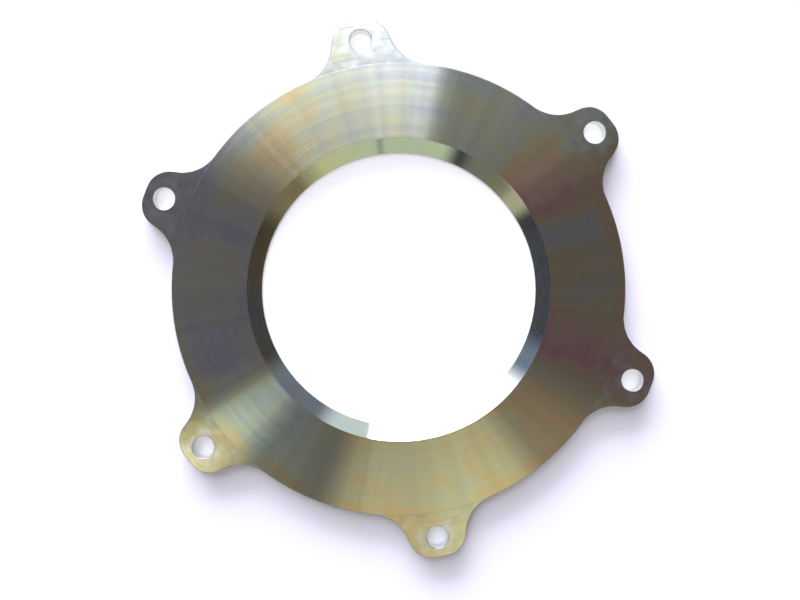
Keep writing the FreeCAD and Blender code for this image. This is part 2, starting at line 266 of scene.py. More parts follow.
def swept(path, name, points, material):
    """A surface that follows a path with one section, in one finish. A section hangs down from
    its path, so its heights are written downwards."""
    section = line_object(name, [Vector((p.x, -p.y)) for p in points])
    shape = add_node(tree, "GeometryNodeObjectInfo", {"Object": given(name, section)})
    line = add_node(tree, "GeometryNodeMeshToCurve", {"Mesh": shape.outputs["Geometry"]})
    wall = add_node(
        tree, "GeometryNodeCurveToMesh", {"Curve": path, "Profile Curve": line.outputs[0]}
    )
    return add_node(
        tree, "GeometryNodeSetMaterial", {"Geometry": wall.outputs[0], "Material": material}
    ).outputs[0]


one_ear = add_node(tree, "NodeGroupInput").outputs["Ear outline"]
ears_in_a_ring = add_node(
    tree, "GeometryNodeMergeByDistance", {"Geometry": for_each_ear(one_ear), "Distance": WELD}
).outputs[0]
rim = add_node(tree, "GeometryNodeMeshToCurve", {"Mesh": ears_in_a_ring}).outputs[0]
rim = add_node(tree, "GeometryNodeSetCurveNormal", {"Curve": rim}, mode="Z_UP").outputs[0]
rim_runs = wall_runs(-EDGE_BREAK)
rim_section = rim_runs[0] + rim_runs[1][1:] + rim_runs[2][1:]
surfaces.append(swept(rim, "rim_section", rim_section, cut_edge))

# The line along the broken edges, where the flat faces end.
rim_normal = add_node(tree, "GeometryNodeInputNormal").outputs[0]
inset = add_node(
    tree, "ShaderNodeMath", {0: given("Edge break", EDGE_BREAK), 1: -1.0}, operation="MULTIPLY"
).outputs[0]
inwards = add_node(
    tree, "ShaderNodeVectorMath", {0: rim_normal, "Scale": inset}, operation="SCALE"
).outputs[0]
rim_line = add_node(
    tree, "GeometryNodeSetPosition", {"Geometry": rim, "Offset": inwards}
).outputs[0]


# The bore and its bevel
# The bore is turned to size, and a wide bevel leads down into it, finished by a sharp tool at a
# fine feed. It is the smoothest part, so it mirrors the room low down on its far side.
BORE_RADIUS = 69 * MM
BEVEL_RADIUS = 75.5 * MM
BEVEL_DEPTH = 6.5 * MM
FACE_RADIUS = 112.5 * MM
ROUND_STEPS = 720

# The whole ring is zinc plated and then dipped in a yellow chromate. The film that this leaves
# is thinner than a wavelength of light: it looks grey where it is thinnest, and turns olive,
# gold, orange and rose as it grows. It is written from 0 to 1.
FILM_COLOURS = {
    0.0: "#bdc5be",
    0.2: "#c8d1b8",
    0.4: "#cfd2a8",
    0.6: "#d9ca92",
    0.8: "#dcc2a2",
    1.0: "#dba798",
}
FILM_PATCH_MM = 20
FILM_PATCH_SPREAD = 0.2
FILM_PATCH_NOISE = (0.25, 0.75)
# Painted reflection tint: the bevel's film round the ring, in picture degrees, is partly the film
# and partly set to the hues that the bevel mirrors there.
BEVEL_FILM_AND_PAINTED_TINT = {
    10: 0.2,
    45: 0.25,
    80: 0.2,
    100: 0.2,
    109: 0.42,
    125: 0.5,
    143: 0.5,
    160: 0.55,
    176: 0.5,
    190: 0.2,
    212: 0.2,
    235: 0.08,
    300: 0.3,
    335: 0.1,
}
FEED_MM = 0.7
BEVEL_GLOSS = (0.09, 0.12)

turned_runs = section_runs(
    [
        (EDGE_BREAK, 0),
        (0, EDGE_BREAK),
        (0, PLATE - BEVEL_DEPTH),
        (BEVEL_RADIUS - BORE_RADIUS, PLATE),
        (FACE_RADIUS - BORE_RADIUS, PLATE),
        (FACE_RADIUS - BORE_RADIUS, EAR_LEVEL),
    ]
)


def from_the_axis(nodes, place_mm):
    """How far a place is from the ring's axis, and the level direction away from it."""
    level = add_node(
        nodes, "ShaderNodeVectorMath", {0: place_mm, 1: (1, 1, 0)}, operation="MULTIPLY"
    ).outputs[0]
    radius = add_node(nodes, "ShaderNodeVectorMath", {0: level}, operation="LENGTH")
    outward = add_node(nodes, "ShaderNodeVectorMath", {0: level}, operation="NORMALIZE")
    return radius.outputs["Value"], outward.outputs[0]


def fill_ramp(ramp, stops):
    """Sets a colour ramp's stops from a table of place and linear colour."""
    places = sorted(stops)
    elements = ramp.color_ramp.elements
    elements[0].position, elements[0].color = places[0], stops[places[0]]
    elements[1].position, elements[1].color = places[-1], stops[places[-1]]
    for place in places[1:-1]:
        elements.new(place).color = stops[place]


def film_and_painted_tint_round(nodes, place_mm, stops):
    """How thick the film is round the ring, from its stops in picture degrees, with patches where
    the dip drained unevenly. The stops are partly the film and partly painted reflection tint, set
    to the hues that each direction mirrors."""
    across = add_node(nodes, "ShaderNodeSeparateXYZ", {0: place_mm}).outputs
    angle = add_node(
        nodes, "ShaderNodeMath", {0: across["Y"], 1: across["X"]}, operation="ARCTAN2"
    ).outputs[0]
    angle = add_node(
        nodes, "ShaderNodeMath", {0: angle, 1: math.radians(PICTURE_TURN)}, operation="SUBTRACT"
    ).outputs[0]
    share = add_node(nodes, "ShaderNodeMath", {0: angle, 1: math.tau}, operation="DIVIDE")
    share = add_node(nodes, "ShaderNodeMath", {0: share.outputs[0]}, operation="FRACT")
    ramp = add_node(nodes, "ShaderNodeValToRGB", {"Fac": share.outputs[0]})
    first, last = min(stops), max(stops)
    seam = stops[last] + (stops[first] - stops[last]) * (360 - last) / (first + 360 - last)
    whole = {0: seam, 360: seam, **stops}
    fill_ramp(ramp, {a / 360: (t, t, t, 1) for a, t in whole.items()})
    patches = add_node(
        nodes,
        "ShaderNodeTexNoise",
        {"Vector": place_mm, "Scale": 1 / FILM_PATCH_MM, "Detail": 2.0, "Distortion": 0.3},
    ).outputs[0]
    patches = add_node(
        nodes,
        "ShaderNodeMapRange",
        {
            "Value": patches,
            "From Min": FILM_PATCH_NOISE[0],
            "From Max": FILM_PATCH_NOISE[1],
            "To Min": -FILM_PATCH_SPREAD,
            "To Max": FILM_PATCH_SPREAD,
        },
    ).outputs[0]
    return add_node(
        nodes, "ShaderNodeMath", {0: ramp.outputs[0], 1: patches}, use_clamp=True
    ).outputs[0]


def film_colour(nodes, film_and_tint):
    """The colour that the film shows at one value, which holds its thickness and painted
    reflection tint.
    """
    ramp = add_node(nodes, "ShaderNodeValToRGB", {"Fac": film_and_tint})
    fill_ramp(ramp, {t: linear(c) for t, c in FILM_COLOURS.items()})
    return ramp.outputs[0]


# Zinc plate over fine turning. Its grooves run round the bore, so each reflection is drawn out
# across them. They are far too fine to show: a stretched gloss stands for most of them, and
# faint rings for the changes of feed, a few times wider than the real ones.
turned_bevel, bevel_nodes, bevel_place = new_finish("bevel_zinc_plate")
bevel_radius, bevel_outward = from_the_axis(bevel_nodes, bevel_place)
bevel_colour = film_colour(bevel_nodes, film_and_painted_tint_round(bevel_nodes, bevel_place, BEVEL_FILM_AND_PAINTED_TINT))
bevel_rings = add_node(
    bevel_nodes,
    "ShaderNodeTexNoise",
    {"W": bevel_radius, "Scale": 1 / FEED_MM, "Detail": 1.0},
    noise_dimensions="1D",
).outputs[0]
bevel_gloss = add_node(
    bevel_nodes,
    "ShaderNodeMapRange",
    {"Value": bevel_rings, "To Min": BEVEL_GLOSS[0], "To Max": BEVEL_GLOSS[1]},
).outputs[0]
bevel_surface = add_node(
    bevel_nodes,
    "ShaderNodeBsdfPrincipled",
    {
        "Base Color": bevel_colour,
        "Metallic": 1.0,
        "Roughness": bevel_gloss,
        "Anisotropic": 1.0,
        "Tangent": bevel_outward,
    },
).outputs[0]
add_node(bevel_nodes, "ShaderNodeOutputMaterial", {"Surface": bevel_surface})


def circle(radius, steps):
    """A circle whose normals lie flat, so that a section keeps upright along it."""
    line = add_node(
        tree, "GeometryNodeCurvePrimitiveCircle", {"Radius": radius, "Resolution": steps}
    )
    return add_node(
        tree, "GeometryNodeSetCurveNormal", {"Curve": line.outputs[0]}, mode="Z_UP"
    ).outputs[0]


bore_given = given("Bore radius", BORE_RADIUS)
bore_line = circle(bore_given, ROUND_STEPS)
surfaces.append(swept(bore_line, "bore_section", turned_runs[0] + turned_runs[1][1:], cut_edge))
surfaces.append(swept(bore_line, "bevel_section", turned_runs[2], turned_bevel))


# The thrust face
# A wide flat band that the clutch bears on, turned in one pass. It stands a little proud of the
# ears, so a fine step runs round it. Its film drifts from grey to rose, one way round the bore and
# another along the rim. This drift is partly the film's own colour and partly painted reflection
# tint, set to the hues mirrored at each direction.
FACE_FILM_AND_PAINTED_TINT = {
    0: 0.5,
    12: 0.55,
    20: 0.15,
    28: 0.82,
    40: 0.85,
    52: 0.3,
    66: 0.28,
    90: 0.24,
    108: 0.3,
    120: 0.38,
    130: 0.5,
    140: 0.5,
    150: 0.4,
    160: 0.05,
    172: 0.16,
    200: 0.12,
    213: 0.3,
    220: 0.12,
    235: 0.25,
    255: 0.42,
    300: 0.42,
    320: 0.68,
    330: 0.4,
    338: 0.95,
    351: 0.8,
}
# The same along the rim and the ears: partly the film, partly painted reflection tint.
RIM_FILM_AND_PAINTED_TINT = {
    8: 0.5,
    28: 0.8,
    38: 0.3,
    60: 0.1,
    99: 0.08,
    120: 0.4,
    150: 0.05,
    159: 0.05,
    190: 0.3,
    206: 0.4,
    219: 0.63,
    232: 0.5,
    250: 0.5,
    279: 0.45,
    300: 0.5,
    322: 0.65,
    330: 0.5,
    339: 0.9,
    350: 0.75,
}
FILM_BLEND_MM = (98, 112)
NOISE_MIDDLE = (0.3, 0.7)
FILM_RING_MM = 4
FILM_RING_SPREAD = 0.07
FACE_FEED_MM = 3
FACE_FEED_HEIGHT_MM = 0.012
RAY_COUNT = 14
RAY_SHADE = (0.93, 1.05)
PIT_MM = 0.9
PIT_NOISE = (0.76, 0.82)
PIT_SHARE = 0.7
PIT_COLOUR = "#e8e6da"
WORN_MM = (104, 92)
WORN_FEED = 0.25
FACE_GLOSS = (0.15, 0.162)


def top_film_and_painted_tint(nodes, place_mm, radius):
    """How thick the film is on the thrust face and on the ears, and the rings in it, left where
    the ring was turned. Its change round the ring is partly painted reflection tint."""
    near_rim = add_node(
        nodes,
        "ShaderNodeMapRange",
        {"Value": radius, "From Min": FILM_BLEND_MM[0], "From Max": FILM_BLEND_MM[1]},
        interpolation_type="SMOOTHSTEP",
    ).outputs[0]
    film_and_tint = add_node(
        nodes,
        "ShaderNodeMix",
        {
            0: near_rim,
            2: film_and_painted_tint_round(nodes, place_mm, FACE_FILM_AND_PAINTED_TINT),
            3: film_and_painted_tint_round(nodes, place_mm, RIM_FILM_AND_PAINTED_TINT),
        },
    ).outputs[0]
    rings = add_node(
        nodes,
        "ShaderNodeTexNoise",
        {"W": radius, "Scale": 1 / FILM_RING_MM, "Detail": 2.0},
        noise_dimensions="1D",
    ).outputs[0]
    rings = add_node(
        nodes,
        "ShaderNodeMapRange",
        {
            "Value": rings,
            "From Min": NOISE_MIDDLE[0],
            "From Max": NOISE_MIDDLE[1],
            "To Min": -FILM_RING_SPREAD,
            "To Max": FILM_RING_SPREAD,
        },
    ).outputs[0]
    film_and_tint = add_node(
        nodes, "ShaderNodeMath", {0: film_and_tint, 1: rings}, use_clamp=True
    ).outputs[0]
    return film_and_tint, rings


# Zinc plate over turning, at a coarser feed than the bevel's. Its grooves run round the axis,
# so every bright thing in the room shows as a wedge that runs out from the bore. Rings show
# where the feed changed and rays where the work shook: both are drawn coarser than they are.
turned_face, face_nodes, face_place = new_finish("turned_zinc_plate")
face_radius, face_outward = from_the_axis(face_nodes, face_place)
face_film_and_painted_tint, face_rings = top_film_and_painted_tint(face_nodes, face_place, face_radius)
ray_place = add_node(
    face_nodes, "ShaderNodeVectorMath", {0: face_outward, "Scale": RAY_COUNT}, operation="SCALE"
).outputs[0]
rays = add_node(
    face_nodes, "ShaderNodeTexNoise", {"Vector": ray_place, "Scale": 1.0, "Detail": 2.0}
).outputs[0]
rays = add_node(
    face_nodes,
    "ShaderNodeMapRange",
    {
        "Value": rays,
        "From Min": NOISE_MIDDLE[0],
        "From Max": NOISE_MIDDLE[1],
        "To Min": RAY_SHADE[0],
        "To Max": RAY_SHADE[1],
    },
).outputs[0]
face_colour = add_node(
    face_nodes,
    "ShaderNodeVectorMath",
    {0: film_colour(face_nodes, face_film_and_painted_tint), "Scale": rays},
    operation="SCALE",
).outputs[0]
pits = add_node(
    face_nodes,
    "ShaderNodeTexNoise",
    {"Vector": face_place, "Scale": 1 / PIT_MM, "Detail": 0.0},
).outputs[0]
pits = add_node(
    face_nodes,
    "ShaderNodeMapRange",
    {"Value": pits, "From Min": PIT_NOISE[0], "From Max": PIT_NOISE[1], "To Max": PIT_SHARE},
).outputs[0]
face_colour = add_node(
    face_nodes,
    "ShaderNodeMix",
    {0: pits, 6: face_colour, 7: linear(PIT_COLOUR)},
    data_type="RGBA",
).outputs[2]
feed_rings = add_node(
    face_nodes,
    "ShaderNodeTexNoise",
    {"W": face_radius, "Scale": 1 / FACE_FEED_MM, "Detail": 1.0},
    noise_dimensions="1D",
).outputs[0]
worn_smooth = add_node(
    face_nodes,
    "ShaderNodeMapRange",
    {
        "Value": face_radius,
        "From Min": WORN_MM[0],
        "From Max": WORN_MM[1],
        "To Min": WORN_FEED,
        "To Max": 1.0,
    },
    interpolation_type="SMOOTHSTEP",
).outputs[0]
feed_rings = add_node(
    face_nodes, "ShaderNodeMath", {0: feed_rings, 1: worn_smooth}, operation="MULTIPLY"
).outputs[0]
face_bump = add_node(
    face_nodes,
    "ShaderNodeBump",
    {"Height": feed_rings, "Distance": FACE_FEED_HEIGHT_MM * MM, "Strength": 1.0},
).outputs[0]
face_gloss = add_node(
    face_nodes,
    "ShaderNodeMapRange",
    {
        "Value": face_rings,
        "From Min": -FILM_RING_SPREAD,
        "From Max": FILM_RING_SPREAD,
        "To Min": FACE_GLOSS[0],
        "To Max": FACE_GLOSS[1],
    },
).outputs[0]
face_surface = add_node(
    face_nodes,
    "ShaderNodeBsdfPrincipled",
    {
        "Base Color": face_colour,
        "Metallic": 1.0,
        "Roughness": face_gloss,
        "Anisotropic": 1.0,
        "Tangent": face_outward,
        "Normal": face_bump,
    },
).outputs[0]
add_node(face_nodes, "ShaderNodeOutputMaterial", {"Surface": face_surface})

surfaces.append(swept(bore_line, "face_section", turned_runs[3], turned_face))
surfaces.append(swept(bore_line, "shoulder_section", turned_runs[4], cut_edge))


# The ears
# Six flat lugs round the rim, faced a little lower than the thrust face. The tool met them one
# after another, so its marks are coarser there, and washers have rubbed the film pale.
EAR_MARK_MM = 1.1
EAR_MARK_HEIGHT_MM = 0.01
EAR_MARK_BREAK_MM = 7
EAR_MARK_NOISE = (0.4, 0.65)
EAR_MARK_SHADE = (1.03, 0.8)
EAR_GLOSS = (0.17, 0.2)
EAR_GROOVING = 0.9
RUB_MM = 6
RUB_NOISE = (0.52, 0.78)
RUB_SHARE = 0.6
RUB_COLOUR = "#dfe6e2"
WASHER_MM = (12, 8)
WASHER_RUB = 0.12


def off_the_hole(nodes, place_mm, radius):
    """How far a place is from the axis of the nearest bolt hole."""
    across = add_node(nodes, "ShaderNodeSeparateXYZ", {0: place_mm}).outputs
    angle = add_node(
        nodes, "ShaderNodeMath", {0: across["Y"], 1: across["X"]}, operation="ARCTAN2"
    ).outputs[0]
    angle = add_node(
        nodes,
        "ShaderNodeMath",
        {0: angle, 1: math.pi / EARS, 2: -math.pi / EARS},
        operation="WRAP",
    ).outputs[0]
    beside = add_node(
        nodes, "ShaderNodeMath", {0: angle, 1: BOLT_CIRCLE / MM}, operation="MULTIPLY"
    ).outputs[0]
    beyond = add_node(
        nodes, "ShaderNodeMath", {0: radius, 1: BOLT_CIRCLE / MM}, operation="SUBTRACT"
    ).outputs[0]
    offset = add_node(nodes, "ShaderNodeCombineXYZ", {"X": beside, "Y": beyond}).outputs[0]
    length = add_node(nodes, "ShaderNodeVectorMath", {0: offset}, operation="LENGTH")
    return length.outputs["Value"]


# Zinc plate over facing, a little rougher than the turned band. The tool's marks are drawn
# about a millimetre apart, near the real spacing, and fade in and out over each ear.
faced_ears, ear_nodes, ear_place = new_finish("faced_zinc_plate")
ear_radius, ear_outward = from_the_axis(ear_nodes, ear_place)
ear_colour = film_colour(ear_nodes, top_film_and_painted_tint(ear_nodes, ear_place, ear_radius)[0])
rubs = add_node(
    ear_nodes, "ShaderNodeTexNoise", {"Vector": ear_place, "Scale": 1 / RUB_MM, "Detail": 3.0}
).outputs[0]
under_washer = add_node(
    ear_nodes,
    "ShaderNodeMapRange",
    {
        "Value": off_the_hole(ear_nodes, ear_place, ear_radius),
        "From Min": WASHER_MM[0],
        "From Max": WASHER_MM[1],
        "To Max": WASHER_RUB,
    },
    interpolation_type="SMOOTHSTEP",
).outputs[0]
rubs = add_node(ear_nodes, "ShaderNodeMath", {0: rubs, 1: under_washer}).outputs[0]
rubs = add_node(
    ear_nodes,
    "ShaderNodeMapRange",
    {"Value": rubs, "From Min": RUB_NOISE[0], "From Max": RUB_NOISE[1], "To Max": RUB_SHARE},
).outputs[0]
ear_colour = add_node(
    ear_nodes, "ShaderNodeMix", {0: rubs, 6: ear_colour, 7: linear(RUB_COLOUR)}, data_type="RGBA"
).outputs[2]
ear_marks = add_node(
    ear_nodes,
    "ShaderNodeTexNoise",
    {"W": ear_radius, "Scale": 1 / EAR_MARK_MM, "Detail": 0.0},
    noise_dimensions="1D",
).outputs[0]
mark_share = add_node(
    ear_nodes,
    "ShaderNodeTexNoise",
    {"Vector": ear_place, "Scale": 1 / EAR_MARK_BREAK_MM, "Detail": 1.0},
).outputs[0]
mark_share = add_node(
    ear_nodes,
    "ShaderNodeMapRange",
    {"Value": mark_share, "From Min": EAR_MARK_NOISE[0], "From Max": EAR_MARK_NOISE[1]},
).outputs[0]
ear_marks = add_node(
    ear_nodes, "ShaderNodeMath", {0: ear_marks, 1: mark_share}, operation="MULTIPLY"
).outputs[0]
ear_shade = add_node(
    ear_nodes,
    "ShaderNodeMapRange",
    {"Value": ear_marks, "To Min": EAR_MARK_SHADE[0], "To Max": EAR_MARK_SHADE[1]},
).outputs[0]
ear_colour = add_node(
    ear_nodes, "ShaderNodeVectorMath", {0: ear_colour, "Scale": ear_shade}, operation="SCALE"
).outputs[0]
ear_bump = add_node(
    ear_nodes,
    "ShaderNodeBump",
    {"Height": ear_marks, "Distance": EAR_MARK_HEIGHT_MM * MM, "Strength": 1.0},
).outputs[0]
ear_gloss = add_node(
    ear_nodes,
    "ShaderNodeMapRange",
    {"Value": rubs, "To Min": EAR_GLOSS[0], "To Max": EAR_GLOSS[1]},
).outputs[0]
ear_surface = add_node(
    ear_nodes,
    "ShaderNodeBsdfPrincipled",
    {
        "Base Color": ear_colour,
        "Metallic": 1.0,
        "Roughness": ear_gloss,
        "Anisotropic": EAR_GROOVING,
        "Tangent": ear_outward,
        "Normal": ear_bump,
    },
).outputs[0]
add_node(ear_nodes, "ShaderNodeOutputMaterial", {"Surface": ear_surface})


# The bolt holes
# One hole drilled through each ear, with both its edges chamfered. The drill leaves a bright
# wall, because the plating dip hardly reaches into it. Its chamfers are as dull as the rim.
HOLE_RADIUS = 5.5 * MM
HOLE_CHAMFER = 0.25 * MM
HOLE_STEPS = 96
DRILLED_COLOUR = "#e6ebe8"
DRILLED_STAIN = "#c3cec9"
DRILL_MARK_MM = 0.8
DRILL_MARK_HEIGHT_MM = 0.02
DRILLED_GLOSS = (0.22, 0.3)

# Zinc plated steel, as drilled: silver with faint rings down the wall. The real marks are a
# third as far apart, and are drawn coarser so that they show.
drilled_wall, hole_nodes, hole_place_mm = new_finish("drilled_zinc_plate")
hole_height = add_node(hole_nodes, "ShaderNodeSeparateXYZ", {0: hole_place_mm}).outputs["Z"]
drill_marks = add_node(
    hole_nodes,
    "ShaderNodeTexNoise",
    {"W": hole_height, "Scale": 1 / DRILL_MARK_MM, "Detail": 1.0},
    noise_dimensions="1D",
).outputs[0]
hole_colour = add_node(
    hole_nodes,
    "ShaderNodeMix",
    {0: drill_marks, 6: linear(DRILLED_COLOUR), 7: linear(DRILLED_STAIN)},
    data_type="RGBA",
).outputs[2]
hole_bump = add_node(
    hole_nodes,
    "ShaderNodeBump",
    {"Height": drill_marks, "Distance": DRILL_MARK_HEIGHT_MM * MM, "Strength": 1.0},
).outputs[0]
hole_gloss = add_node(
    hole_nodes,
    "ShaderNodeMapRange",
    {"Value": drill_marks, "To Min": DRILLED_GLOSS[0], "To Max": DRILLED_GLOSS[1]},
).outputs[0]
hole_surface = add_node(
    hole_nodes,
    "ShaderNodeBsdfPrincipled",
    {
        "Base Color": hole_colour,
        "Metallic": 1.0,
        "Roughness": hole_gloss,
        "Normal": hole_bump,
    },
).outputs[0]
add_node(hole_nodes, "ShaderNodeOutputMaterial", {"Surface": hole_surface})

hole_given = given("Hole radius", HOLE_RADIUS)
hole_centre = add_node(
    tree, "ShaderNodeCombineXYZ", {"X": given("Bolt circle radius", BOLT_CIRCLE)}
).outputs[0]
hole_line = add_node(
    tree,
    "GeometryNodeTransform",
    {"Geometry": circle(hole_given, HOLE_STEPS), "Translation": hole_centre},
).outputs[0]
mouth_radius = add_node(
    tree, "ShaderNodeMath", {0: hole_given, 1: given("Hole chamfer", HOLE_CHAMFER)}
).outputs[0]
hole_mouth = add_node(
    tree,
    "GeometryNodeTransform",
    {"Geometry": circle(mouth_radius, HOLE_STEPS), "Translation": hole_centre},
).outputs[0]
hole_mouths = for_each_ear(hole_mouth)
hole_finishes = {
    "back_chamfer_section": cut_edge,
    "hole_section": drilled_wall,
    "chamfer_section": cut_edge,
}
for run, (name, finish) in zip(wall_runs(HOLE_CHAMFER), hole_finishes.items()):
    surfaces.append(for_each_ear(swept(hole_line, name, run, finish)))


def flat_face(edges, level, material):
    """A flat face between closed lines, at one level."""
    lines = add_node(tree, "GeometryNodeJoinGeometry")
    for edge in edges:
        tree.links.new(edge, lines.inputs[0])
    face = add_node(tree, "GeometryNodeFillCurve", {"Curve": lines.outputs[0]}, mode="TRIANGLES")
    height = add_node(tree, "ShaderNodeCombineXYZ", {"Z": level})
    raised = add_node(
        tree, "GeometryNodeSetPosition", {"Geometry": face.outputs[0], "Offset": height.outputs[0]}
    )
    flat = add_node(
        tree, "GeometryNodeSetShadeSmooth", {"Geometry": raised.outputs[0], "Shade Smooth": False}
    )
    return add_node(
        tree, "GeometryNodeSetMaterial", {"Geometry": flat.outputs[0], "Material": material}
    ).outputs[0]


face_line = circle(given("Face radius", FACE_RADIUS), ROUND_STEPS)
surfaces.append(flat_face([rim_line, hole_mouths, face_line], ear_level_given, faced_ears))


# The back
# The whole underside is one flat face, faced in the same way as the ears. It lies on the table,
# and only its broken edges leave it.
back_radius = add_node(
    tree, "ShaderNodeMath", {0: bore_given, 1: given("Bore edge break", EDGE_BREAK)}
).outputs[0]
back_line = circle(back_radius, ROUND_STEPS)
surfaces.append(flat_face([rim_line, hole_mouths, back_line], 0.0, faced_ears))


# The ring put together
# The ring is one piece of steel, so its surfaces are welded into one closed mesh. It stands for
# the ring of the solid model, and rides where that rides.
whole_ring = add_node(tree, "GeometryNodeJoinGeometry")
for surface in surfaces:
    tree.links.new(surface, whole_ring.inputs[0])
welded = add_node(
    tree, "GeometryNodeMergeByDistance", {"Geometry": whole_ring.outputs[0], "Distance": WELD}
).outputs[0]
plain = add_node(tree, "GeometryNodeRealizeInstances", {0: welded}).outputs[0]
add_node(tree, "NodeGroupOutput", {0: plain})

ring_source = line_object("ear_outline", ear_outline())
maker = ring_source.modifiers.new("ring_from_one_ear", "NODES")
maker.node_group = tree
for identifier, value in tree_inputs.items():
    maker[identifier] = value
made_ring = ring_source.evaluated_get(bpy.context.evaluated_depsgraph_get())
ring_mesh = bpy.data.meshes.new_from_object(made_ring)
bpy.data.objects.remove(ring_source)
for value in tree_inputs.values():
    if isinstance(value, bpy.types.Object):
        bpy.data.objects.remove(value)

closed = bmesh.new()
closed.from_mesh(ring_mesh)
bmesh.ops.recalc_face_normals(closed, faces=closed.faces)
closed.to_mesh(ring_mesh)
closed.free()
ring = bpy.data.objects.new("plated_ring", ring_mesh)
bpy.context.scene.collection.objects.link(ring)
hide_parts("thrust_ring")
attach(ring, "root")


# The floor
# A white paper table. It takes the ring's shadow. In the camera and the metal, painted light lifts
# the paper inside the bore and under the bolt holes, strongest under the far holes, and pales the
# ring's shadow there.
FLOOR_REACH = 20
PAPER_WHITE = "#f9f9fb"
PAPER_GLOW = 0.01
# Painted light on the paper inside the bore and under the bolt holes, weaker under the near holes
# and stronger under the far ones.
BORE_PAINTED_LIGHT = 0.3
HOLE_PAINTED_LIGHT_NEAR = 0.2
HOLE_PAINTED_LIGHT_FAR = 0.62

floor_mesh = bpy.data.meshes.new("floor")
corners = [(x * FLOOR_REACH, y * FLOOR_REACH, 0) for x, y in ((-1, -1), (1, -1), (1, 1), (-1, 1))]
floor_mesh.from_pydata(corners, [], [(0, 1, 2, 3)])
floor = bpy.data.objects.new("floor", floor_mesh)
bpy.context.scene.collection.objects.link(floor)

# Matt white paper. Its fibres are far too fine to show from here.
paper, paper_nodes, paper_place = new_finish("white_paper")
paper_radius = from_the_axis(paper_nodes, paper_place)[0]
# Painted light: the paper glows more inside the bore and under the bolt holes, and more under the
# far holes than under the near ones.
under_hole = add_node(
    paper_nodes,
    "ShaderNodeMath",
    {
        0: off_the_hole(paper_nodes, paper_place, paper_radius),
        1: (HOLE_RADIUS + HOLE_CHAMFER) / MM,
    },
    operation="LESS_THAN",
).outputs[0]
under_bore = add_node(
    paper_nodes,
    "ShaderNodeMath",
    {0: paper_radius, 1: (BORE_RADIUS + EDGE_BREAK) / MM},
    operation="LESS_THAN",
).outputs[0]
far_side = add_node(
    paper_nodes,
    "ShaderNodeVectorMath",
    {0: paper_place, 1: picture_axes @ Vector((0, 1, 0))},
    operation="DOT_PRODUCT",
).outputs["Value"]
hole_painted_light = add_node(
    paper_nodes,
    "ShaderNodeMapRange",
    {
        "Value": far_side,
        "From Min": -BOLT_CIRCLE / MM,
        "From Max": BOLT_CIRCLE / MM,
        "To Min": HOLE_PAINTED_LIGHT_NEAR,
        "To Max": HOLE_PAINTED_LIGHT_FAR,
    },
).outputs[0]
glow_and_painted_light = add_node(
    paper_nodes,
    "ShaderNodeMath",
    {0: under_bore, 1: BORE_PAINTED_LIGHT, 2: PAPER_GLOW},
    operation="MULTIPLY_ADD",
).outputs[0]
glow_and_painted_light = add_node(
    paper_nodes,
    "ShaderNodeMath",
    {0: under_hole, 1: hole_painted_light, 2: glow_and_painted_light},
    operation="MULTIPLY_ADD",
).outputs[0]
seen_by = add_node(paper_nodes, "ShaderNodeLightPath").outputs
shown = add_node(
    paper_nodes, "ShaderNodeMath", {0: seen_by["Is Camera Ray"], 1: seen_by["Is Glossy Ray"]}
).outputs[0]
shown = add_node(
    paper_nodes, "ShaderNodeMath", {0: shown, 1: seen_by["Is Transmission Ray"]}, use_clamp=True
).outputs[0]
glow_and_painted_light = add_node(
    paper_nodes, "ShaderNodeMath", {0: shown, 1: glow_and_painted_light}, operation="MULTIPLY"
).outputs[0]
glow_and_painted_light = add_node(paper_nodes, "ShaderNodeEmission", {"Strength": glow_and_painted_light}).outputs[0]
matt = add_node(paper_nodes, "ShaderNodeBsdfDiffuse", {"Color": linear(PAPER_WHITE)}).outputs[0]
lit = add_node(paper_nodes, "ShaderNodeAddShader", {0: matt, 1: glow_and_painted_light}).outputs[0]
add_node(paper_nodes, "ShaderNodeOutputMaterial", {"Surface": lit})
floor_mesh.materials.append(paper)


# The light
# A dim room with one tall soft window behind the table, and pale cards round it. The ring is
# turned metal, so each of them shows as a wedge that runs out from the bore, and the bevel
# mirrors what stands low on the far side.
ROOM_COLOUR = "#e6dcff"
ROOM_HIGH = 0.165
ROOM_LOW = 0.054
ROOM_STEP = (22, 12)

